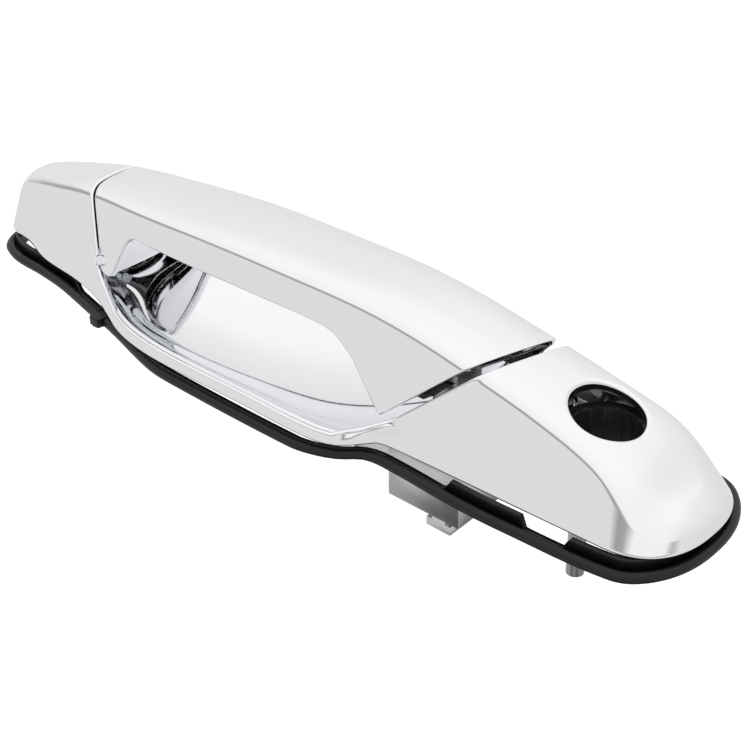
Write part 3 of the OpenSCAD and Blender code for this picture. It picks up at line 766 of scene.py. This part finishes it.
gasket_sheet = Sheet()
bead = [(BEAD_R - BEAD_R * math.cos(a), BEAD_R + BEAD_R * math.sin(a))
        for a in np.linspace(-math.pi * 0.5, math.pi * 0.86, 13)]
gasket_columns = []
for p, n in zip(gasket_path, inward):
    tall = float(upstand(p[0]))
    outline = bead + [(3.5, 1.3), (3.8, 1.4), (3.8, tall - 0.3), (4.1, tall), (5.2, tall), (5.5, tall - 0.3),
                      (5.5, 0.3), (5.2, 0.0)]
    gasket_columns.append([(p[0] + n[0] * d, p[1] + n[1] * d, z) for d, z in outline + outline[:1]])
gasket_sheet.patch(gasket_columns + gasket_columns[:1])
for sign in (-1, 1):
    tab = [(-74.5, 27.5), (-73.4, 30.9), (-71.0, 31.4), (-69.2, 31.2), (-68.4, 28.5)]
    columns = [[(x, sign * y * k, z) for k, z in ((0.9, 0.0), (1.0, 0.5), (1.0, 3.0), (0.985, 3.5), (0.9, 3.5),
                                                  (0.9, 0.0))] for x, y in tab]
    first = gasket_sheet.patch(columns)
    gasket_sheet.faces += [list(range(first, first + 5)), list(range(first + 24, first + 29))[::-1]]
gasket = gasket_sheet.piece("gasket")
bm = bmesh.new()
bm.from_mesh(gasket.data)
bmesh.ops.recalc_face_normals(bm, faces=bm.faces)
bm.to_mesh(gasket.data)
bm.free()
shaded(gasket, 40)
gasket.data.materials.clear()
gasket.data.materials.append(black_rubber)
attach(gasket, "frame_body")
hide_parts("gasket")

for node in ("grip_bump_stop", "hinge_bump_stop"):
    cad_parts[node].data.materials.clear()
    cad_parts[node].data.materials.append(black_rubber)

# ---------------------------------------------------------------------------------------------
# Lock housing. The black tube under the key hole that takes the lock cylinder, moulded in glass
# filled nylon and screwed to the frame by two feet.
# ---------------------------------------------------------------------------------------------
# Glass filled nylon: black, half matt, with a faint fibrous grain about a millimetre long.
black_nylon, nylon_tree, nylon_shader = finish_of("Glass_Filled_Nylon", "17181A", 0.0, 0.5)
place = add_node(nylon_tree, "ShaderNodeTexCoord")
fibres = add_node(nylon_tree, "ShaderNodeTexNoise", {"noise_dimensions": "3D"},
                  {"Vector": place.outputs["Object"]}, Scale=1 / 0.001, Detail=2.0, Roughness=0.6)
relief(nylon_tree, nylon_shader, fibres.outputs["Fac"], 0.25, 0.00003)
eased_copy("lock_housing", "moulded_lock_housing", 0.35, black_nylon, "frame_body")

# ---------------------------------------------------------------------------------------------
# Rod clip. The natural acetal bush that snaps into the crank's eye and grips the latch rod.
# ---------------------------------------------------------------------------------------------
# Natural acetal: milky white, waxy and slightly see-through, with a low gloss.
acetal, acetal_tree, acetal_shader = finish_of("Natural_Acetal", "E6E3DA", 0.0, 0.32)
place = add_node(acetal_tree, "ShaderNodeTexCoord")
wax = add_node(acetal_tree, "ShaderNodeTexNoise", {"noise_dimensions": "3D"},
               {"Vector": place.outputs["Object"]}, Scale=1 / 0.002, Detail=1.0, Roughness=0.5)
relief(acetal_tree, acetal_shader, wax.outputs["Fac"], 0.2, 0.00002)
eased_copy("latch_rod_clip", "moulded_rod_clip", 0.25, acetal, "clip_body")

# ---------------------------------------------------------------------------------------------
# Return spring. A torsion spring of 0.9 mm black spring steel wire, coiled round the crank's pin
# between the frame's wall and the crank.
# ---------------------------------------------------------------------------------------------
# Oil blackened spring steel: dark metal, fairly glossy, with die marks along the wire.
dark_steel, dark_tree, dark_shader = finish_of("Oil_Blackened_Spring_Steel", "3B3C3F", 1.0, 0.36)
place = add_node(dark_tree, "ShaderNodeTexCoord")
marks = add_node(dark_tree, "ShaderNodeTexNoise", {"noise_dimensions": "3D"},
                 {"Vector": place.outputs["Object"]}, Scale=1 / 0.0007, Detail=2.0, Roughness=0.6)
relief(dark_tree, dark_shader, marks.outputs["Fac"], 0.25, 0.00002)


def node_group(name, inputs):
    """A Geometry Nodes tree with named inputs; returns it with its input and output nodes."""
    tree = bpy.data.node_groups.new(name, "GeometryNodeTree")
    tree.interface.new_socket("Geometry", in_out="INPUT", socket_type="NodeSocketGeometry")
    for label, kind, value in inputs:
        made = tree.interface.new_socket(label, in_out="INPUT", socket_type=kind)
        if value is not None:
            made.default_value = value
    tree.interface.new_socket("Geometry", in_out="OUTPUT", socket_type="NodeSocketGeometry")
    return tree, tree.nodes.new("NodeGroupInput"), tree.nodes.new("NodeGroupOutput")


def grown(name, tree, values, points=((0, 0, 0),)):
    """Runs a tree on a few points, in millimetres, and keeps the result as a plain mesh."""
    mesh = bpy.data.meshes.new(name)
    mesh.from_pydata([tuple(c * MM for c in p) for p in points], [], [])
    obj = bpy.data.objects.new(name, mesh)
    bpy.context.scene.collection.objects.link(obj)
    step_nodes = obj.modifiers.new("nodes", "NODES")
    step_nodes.node_group = tree
    sockets = {s.name: s.identifier for s in tree.interface.items_tree if s.in_out == "INPUT"}
    for label, value in values.items():
        step_nodes[sockets[label]] = value
    settled(obj)
    return obj


F, M, V = "NodeSocketFloat", "NodeSocketMaterial", "NodeSocketVector"
coil_tree, given, out = node_group("torsion_coil", [
    ("Wire Radius", F, 0.00045), ("Coil Radius", F, 0.0039), ("Length", F, 0.0025), ("Turns", F, 2.5),
    ("Place", V, (0, 0, 0)), ("Material", M, None)])
spiral = add_node(coil_tree, "GeometryNodeCurveSpiral", Resolution=40)
for label, source in (("Rotations", "Turns"), ("Start Radius", "Coil Radius"), ("End Radius", "Coil Radius"),
                      ("Height", "Length")):
    coil_tree.links.new(given.outputs[source], spiral.inputs[label])
wire = add_node(coil_tree, "GeometryNodeCurvePrimitiveCircle", links={"Radius": given.outputs["Wire Radius"]},
                Resolution=12)
swept = add_node(coil_tree, "GeometryNodeCurveToMesh", links={"Curve": spiral.outputs["Curve"],
                                                              "Profile Curve": wire.outputs["Curve"]},
                 Fill_Caps=True)
laid = add_node(coil_tree, "GeometryNodeTransform", links={"Geometry": swept.outputs["Mesh"],
                                                           "Translation": given.outputs["Place"]},
                Rotation=(0, math.pi / 2, 0))
whole = add_node(coil_tree, "GeometryNodeRealizeInstances", links={"Geometry": laid.outputs["Geometry"]})
dressed = add_node(coil_tree, "GeometryNodeSetMaterial", links={"Geometry": whole.outputs["Geometry"],
                                                                "Material": given.outputs["Material"]})
coil_tree.links.new(dressed.outputs["Geometry"], out.inputs["Geometry"])
spring_low, spring_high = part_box("return_spring")
spring_mid = (spring_low + spring_high) / 2
return_spring = grown("return_spring", coil_tree, {
    "Length": spring_high.x - spring_low.x - 0.0009 - 0.0001,
    "Place": (spring_low.x + 0.0005, spring_mid.y, spring_mid.z), "Material": dark_steel})
shaded(return_spring, 50)
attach(return_spring, "frame_body")
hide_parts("return_spring")

# ---------------------------------------------------------------------------------------------
# Screws. Bezel, housing and grip screws: pan heads with a cross recess on a threaded shank, in
# bright zinc plated or blackened steel.
# ---------------------------------------------------------------------------------------------
# Bright zinc plate: pale bluish metal, half bright, slightly mottled by the plating.
zinc_steel, bright_tree, bright_shader = finish_of("Bright_Zinc_Plated_Steel", "C4C7CB", 1.0, 0.24)
place = add_node(bright_tree, "ShaderNodeTexCoord")
mottle = add_node(bright_tree, "ShaderNodeTexNoise", {"noise_dimensions": "3D"},
                  {"Vector": place.outputs["Object"]}, Scale=1 / 0.0015, Detail=2.0, Roughness=0.5)
relief(bright_tree, bright_shader, mottle.outputs["Fac"], 0.2, 0.00002)

screw_tree, given, out = node_group("pan_head_screw", [
    ("Head Radius", F, 0.003), ("Head Height", F, 0.0018), ("Shank Radius", F, 0.0014),
    ("Shank Length", F, 0.01), ("Thread Pitch", F, 0.001), ("Facing", V, (0, 0, 0)), ("Material", M, None)])


def times(tree, socket, factor):
    """A length multiplied by a number."""
    node = add_node(tree, "ShaderNodeMath", {"operation": "MULTIPLY"}, {0: socket})
    node.inputs[1].default_value = factor
    return node.outputs[0]


def upright(tree, z_socket):
    return add_node(tree, "ShaderNodeCombineXYZ", links={"Z": z_socket}).outputs[0]


head = add_node(screw_tree, "GeometryNodeMeshCone", {"fill_type": "NGON"},
                {"Radius Bottom": given.outputs["Head Radius"],
                 "Radius Top": times(screw_tree, given.outputs["Head Radius"], 0.72),
                 "Depth": given.outputs["Head Height"]}, Vertices=32)
shank = add_node(screw_tree, "GeometryNodeMeshCylinder", links={
    "Radius": times(screw_tree, given.outputs["Shank Radius"], 0.86), "Depth": given.outputs["Shank Length"]},
    Vertices=20)
shank_low = add_node(screw_tree, "GeometryNodeTransform", links={
    "Geometry": shank.outputs["Mesh"],
    "Translation": upright(screw_tree, times(screw_tree, given.outputs["Shank Length"], -0.5))})
turns_made = add_node(screw_tree, "ShaderNodeMath", {"operation": "DIVIDE"}, {
    0: given.outputs["Shank Length"], 1: given.outputs["Thread Pitch"]})
crest_r = times(screw_tree, given.outputs["Shank Radius"], 0.9)
helix = add_node(screw_tree, "GeometryNodeCurveSpiral", links={
    "Rotations": turns_made.outputs[0], "Start Radius": crest_r, "End Radius": crest_r,
    "Height": times(screw_tree, given.outputs["Shank Length"], 0.96)}, Resolution=14)
crest = add_node(screw_tree, "GeometryNodeCurvePrimitiveCircle", links={
    "Radius": times(screw_tree, given.outputs["Shank Radius"], 0.1)}, Resolution=4)
thread = add_node(screw_tree, "GeometryNodeCurveToMesh", links={"Curve": helix.outputs["Curve"],
                                                                "Profile Curve": crest.outputs["Curve"]},
                  Fill_Caps=True)
thread_low = add_node(screw_tree, "GeometryNodeTransform", links={
    "Geometry": thread.outputs["Mesh"],
    "Translation": upright(screw_tree, times(screw_tree, given.outputs["Shank Length"], -0.98))})
arm_long = times(screw_tree, given.outputs["Head Radius"], 1.1)
arm_wide = times(screw_tree, given.outputs["Head Radius"], 0.24)
recess_parts = []
for a, b in ((arm_long, arm_wide), (arm_wide, arm_long)):
    size = add_node(screw_tree, "ShaderNodeCombineXYZ", links={"X": a, "Y": b,
                                                               "Z": given.outputs["Head Height"]})
    block = add_node(screw_tree, "GeometryNodeMeshCube", links={"Size": size.outputs[0]})
    recess_parts.append(add_node(screw_tree, "GeometryNodeTransform", links={
        "Geometry": block.outputs["Mesh"],
        "Translation": upright(screw_tree, times(screw_tree, given.outputs["Head Height"], 1.05))}))
recessed = add_node(screw_tree, "GeometryNodeMeshBoolean", {"operation": "DIFFERENCE", "solver": "EXACT"},
                    {"Mesh 1": head.outputs["Mesh"]})
for part in recess_parts:
    screw_tree.links.new(part.outputs["Geometry"], recessed.inputs["Mesh 2"])
one_screw = add_node(screw_tree, "GeometryNodeJoinGeometry")
for part in (recessed.outputs["Mesh"], shank_low.outputs["Geometry"], thread_low.outputs["Geometry"]):
    screw_tree.links.new(part, one_screw.inputs["Geometry"])
turn = add_node(screw_tree, "FunctionNodeEulerToRotation", links={"Euler": given.outputs["Facing"]})
set_out = add_node(screw_tree, "GeometryNodeInstanceOnPoints", links={
    "Points": given.outputs["Geometry"], "Instance": one_screw.outputs["Geometry"],
    "Rotation": turn.outputs["Rotation"]})
whole = add_node(screw_tree, "GeometryNodeRealizeInstances", links={"Geometry": set_out.outputs["Instances"]})
dressed = add_node(screw_tree, "GeometryNodeSetMaterial", links={"Geometry": whole.outputs["Geometry"],
                                                                 "Material": given.outputs["Material"]})
screw_tree.links.new(dressed.outputs["Geometry"], out.inputs["Geometry"])

UPSIDE_DOWN = (math.pi, 0, 0)
SCREWS = [
    ("bezel_screws", "frame_body", "dark_steel", dark_steel, [(x, y, 1.0) for x, y, _ in BOSSES],
     (3.2, 1.8, 1.45, 9.5), UPSIDE_DOWN),
    ("grip_screws", "grip_body", "zinc_steel", zinc_steel, [(-78.5, 0, 18), (53, -1, 20)],
     (2.8, 1.8, 1.2, 11), UPSIDE_DOWN),
    ("lock_housing_screws", "frame_body", "zinc_steel", zinc_steel, [(104, -16.2, 6.6), (104, 16.2, 6.6)],
     (2.6, 1.6, 1.25, 5.4), (0, 0, 0)),
]
for name, body, slot_name, material, places, (head_r, head_h, shank_r, long_), facing in SCREWS:
    screws = grown(name, screw_tree, {
        "Head Radius": head_r * MM, "Head Height": head_h * MM, "Shank Radius": shank_r * MM,
        "Shank Length": long_ * MM, "Facing": facing, "Material": material}, places)
    shaded(screws, 40)
    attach(screws, body)
    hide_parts(name)

# ---------------------------------------------------------------------------------------------
# Pins, clips, studs and rivet. Turned and pressed hardware: two pins with their clips, the door
# studs, the counterweight with its rivet, and the set screw that holds the lock cylinder.
# ---------------------------------------------------------------------------------------------
for node, material, slot_name in (
        ("hinge_pin", zinc_steel, "zinc_steel"), ("hinge_pin_clips", dark_steel, "dark_steel"),
        ("bell_crank_pin", zinc_steel, "zinc_steel"), ("bell_crank_pin_clip", dark_steel, "dark_steel"),
        ("counterweight", dark_steel, "dark_steel"), ("counterweight_rivet", zinc_steel, "zinc_steel"),
        ("mounting_studs", zinc_steel, "zinc_steel"), ("lock_set_screw", dark_steel, "dark_steel")):
    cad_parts[node].data.materials.clear()
    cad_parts[node].data.materials.append(material)

# ---------------------------------------------------------------------------------------------
# Studio. A pale floor that glows faintly and a soft pale surround, brightest overhead, which gives
# all the rest of the light, with a camera that looks down on the handle from its near side.
# ---------------------------------------------------------------------------------------------
scene = bpy.context.scene
scene.view_settings.view_transform = "Standard"

floor_mesh = bpy.data.meshes.new("studio_floor")
bm = bmesh.new()
bmesh.ops.create_circle(bm, cap_ends=True, segments=64, radius=0.55)
bmesh.ops.translate(bm, verts=bm.verts, vec=Vector((0, 0, cad_low.z - 0.03)))
bm.to_mesh(floor_mesh)
bm.free()
studio_floor = bpy.data.objects.new("studio_floor", floor_mesh)
scene.collection.objects.link(studio_floor)
floor_paint = finish_of("Matt_White_Studio_Paper", "C8C8C8", 0.0, 0.9,
                        Emission_Color=(1, 1, 1, 1), Emission_Strength=0.66)[0]
studio_floor.data.materials.append(floor_paint)
studio_floor.visible_glossy = False

world = bpy.data.worlds.new("pale_surround")
world.use_nodes = True
scene.world = world
sky = world.node_tree
sky.nodes.clear()
direction = add_node(sky, "ShaderNodeTexCoord")
split = add_node(sky, "ShaderNodeSeparateXYZ", links={"Vector": direction.outputs["Generated"]})
height = add_node(sky, "ShaderNodeMapRange", links={"Value": split.outputs["Z"]}, From_Min=-1.0, From_Max=1.0)


def surround_ramp(levels):
    """Grey of the surround from straight down (-1) to straight up (1)."""
    ramp = add_node(sky, "ShaderNodeValToRGB", links={"Fac": height.outputs["Result"]})
    ramp.color_ramp.elements.remove(ramp.color_ramp.elements[0])
    for k, (z, grey) in enumerate(levels):
        spot = ramp.color_ramp.elements[0] if k == 0 else ramp.color_ramp.elements.new((z + 1) / 2)
        spot.position = (z + 1) / 2
        spot.color = (grey, grey, grey, 1)
    return ramp.outputs["Color"]


near_side = surround_ramp([(-1.0, 0.12), (-0.82, 0.16), (-0.66, 0.80), (0.02, 0.86), (0.12, 0.86),
                           (0.19, 0.40), (0.26, 0.45), (0.34, 1.05), (1.0, 1.15)])
far_side = surround_ramp([(-1.0, 0.12), (-0.82, 0.16), (-0.66, 0.80), (0.02, 0.88), (0.30, 0.92), (0.56, 1.0),
                          (0.75, 1.12), (1.0, 1.15)])
side_mix = add_node(sky, "ShaderNodeMapRange", {"interpolation_type": "SMOOTHSTEP"},
                    {"Value": split.outputs["Y"]}, From_Min=-0.35, From_Max=0.1)
both = add_node(sky, "ShaderNodeMix", {"data_type": "RGBA"}, {0: side_mix.outputs["Result"]})
sky.links.new(near_side, both.inputs[6])
sky.links.new(far_side, both.inputs[7])
glow = add_node(sky, "ShaderNodeBackground", links={"Color": both.outputs[2]}, Strength=1.0)
add_node(sky, "ShaderNodeOutputWorld", links={"Surface": glow.outputs["Background"]})

VIEW_DOWN = math.radians(33.398)
VIEW_ROUND = math.radians(41.806)
VIEW_ROLL = math.radians(-0.811)
VIEW_DISTANCE = 519.78
SENSOR_WIDTH = 36
FOCAL_LENGTH = 82.44
LOOKED_AT = Vector((18.773, 2.887, 3.068))
back = Vector((math.sin(VIEW_ROUND) * math.cos(VIEW_DOWN), -math.cos(VIEW_ROUND) * math.cos(VIEW_DOWN),
               math.sin(VIEW_DOWN)))
right = Vector((math.cos(VIEW_ROUND), math.sin(VIEW_ROUND), 0))
up = back.cross(right)
rolled_right = right * math.cos(VIEW_ROLL) + up * math.sin(VIEW_ROLL)
rolled_up = up * math.cos(VIEW_ROLL) - right * math.sin(VIEW_ROLL)
lens = bpy.data.cameras.new("camera")
lens.sensor_width = SENSOR_WIDTH
lens.lens = FOCAL_LENGTH
lens.clip_start = 0.01
camera = bpy.data.objects.new("camera", lens)
stand = (LOOKED_AT + back * VIEW_DISTANCE) * MM
camera.matrix_world = Matrix((
    (rolled_right.x, rolled_up.x, back.x, stand.x),
    (rolled_right.y, rolled_up.y, back.y, stand.y),
    (rolled_right.z, rolled_up.z, back.z, stand.z),
    (0, 0, 0, 1)))
scene.collection.objects.link(camera)
scene.camera = camera
